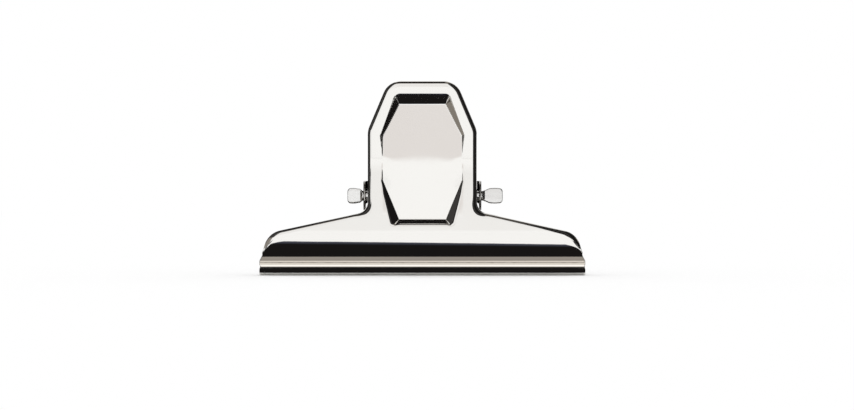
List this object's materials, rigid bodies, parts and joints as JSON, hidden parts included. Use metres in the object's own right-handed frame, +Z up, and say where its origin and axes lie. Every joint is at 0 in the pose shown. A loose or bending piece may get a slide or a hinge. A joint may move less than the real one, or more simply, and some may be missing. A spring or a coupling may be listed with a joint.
{
  "type": "bulldog clip",
  "caption": "Wide nickel-plated steel bulldog clip: sprung pressed plates with waisted handles, sunk panels, turned rims and rolled jaw lips, hinged on a spade-ended pin to grip loose sheets.",
  "frame": {"origin": "bottom centre of the overall box, on the surface that the two jaw lips stand on, midway between the plates", "axes": "+X along the jaw, +Z up the handles, +Y through the clip from the front plate to the rear plate"},
  "size_m": [0.095, 0.0226, 0.0564],
  "materials": {
    "nickel_plate": "bright nickel plating over pressed sheet steel, finely handled",
    "nickel_pin": "nickel-plated steel wire with beaten ends",
    "spring_steel": "drawn spring wire"
  },
  "bodies": {
    "rear": {"rear_plate": "nickel_plate", "spring": "spring_steel"},
    "front": {"front_plate": "nickel_plate"},
    "pin": {"hinge_pin": "nickel_pin"}
  },
  "joints": [
    {"name": "jaw_hinge", "type": "hinge", "parent": "rear", "child": "front", "pos_m": [0, 0, 0.0232], "axis": [-1, 0, 0], "range_deg": [0, 28], "stiffness_Nm_per_rad": 1.3, "springref_deg": -22.06, "deforming": ["spring"]},
    {"name": "pin_spin", "type": "hinge", "parent": "rear", "child": "pin", "pos_m": [0, 0, 0.0232], "axis": [1, 0, 0], "continuous": true}
  ]
}
